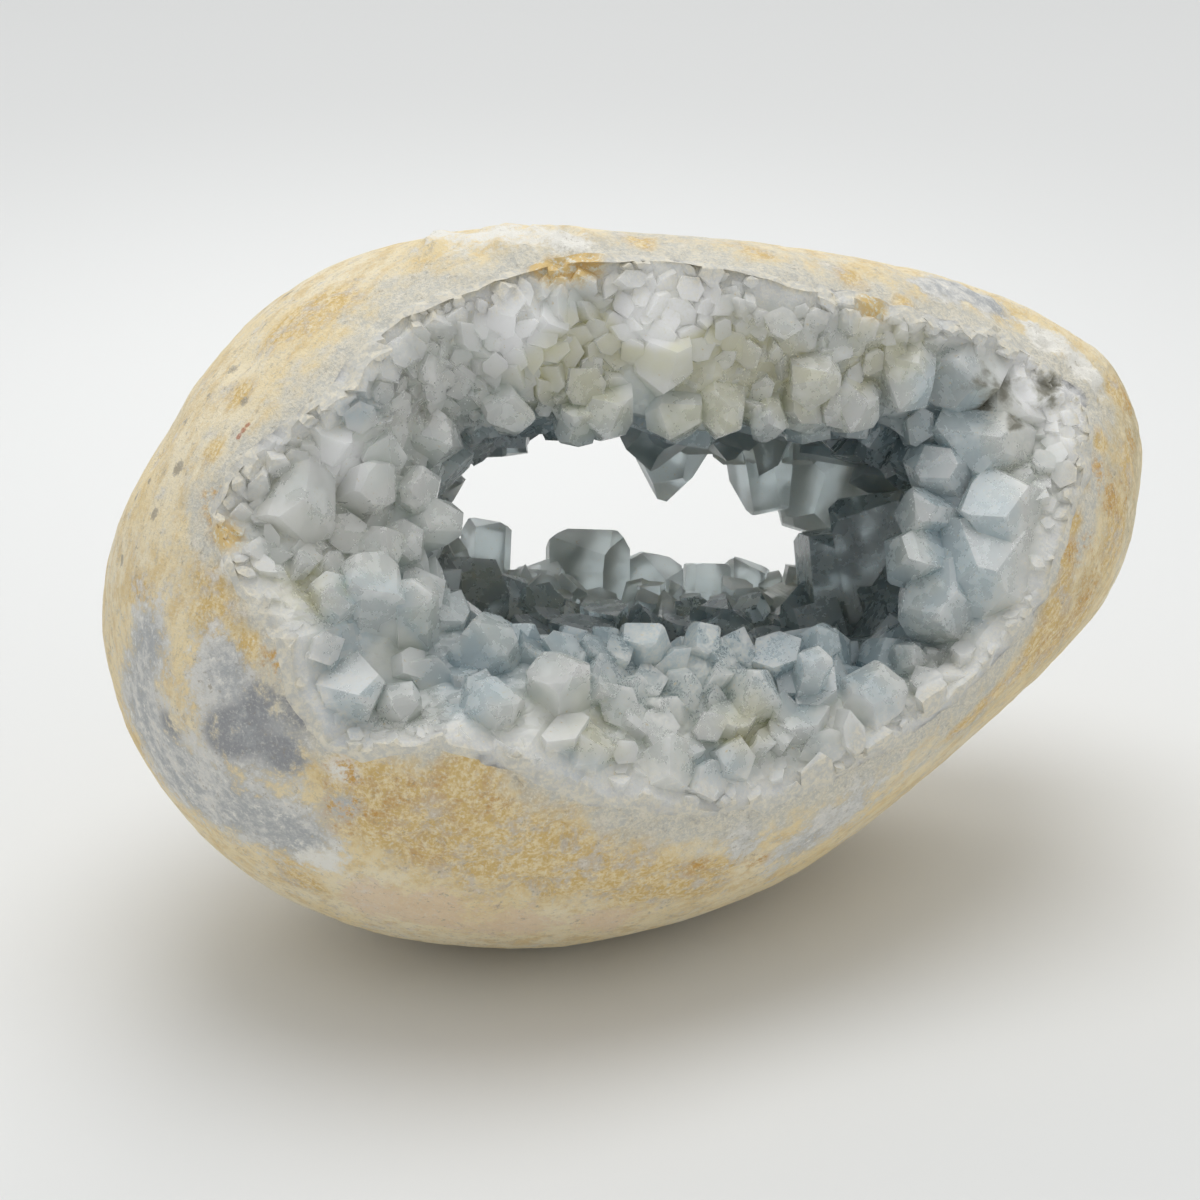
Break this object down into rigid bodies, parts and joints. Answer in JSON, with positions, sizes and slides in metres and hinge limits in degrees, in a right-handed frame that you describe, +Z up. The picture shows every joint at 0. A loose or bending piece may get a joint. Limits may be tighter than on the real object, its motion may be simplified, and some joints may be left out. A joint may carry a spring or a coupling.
{
  "type": "celestite geode",
  "caption": "Egg-shaped celestite geode, ground smooth outside, with a broken window and a hollow lined with pale blue crystals that passes right through.",
  "frame": {"origin": "centre of the footprint of the whole stone, on the plane of the small ground flat it stands on", "axes": "+X along the egg towards its narrow end, +Z up, the wide window faces -Y and somewhat upwards"},
  "size_m": [0.1754, 0.1078, 0.1118],
  "materials": {
    "rock": "ground smooth, matte",
    "celestite": "clear to milky pale blue crystal"
  },
  "bodies": {
    "root": {"rock_shell": "rock", "crystal_crust": "celestite"}
  },
  "joints": []
}
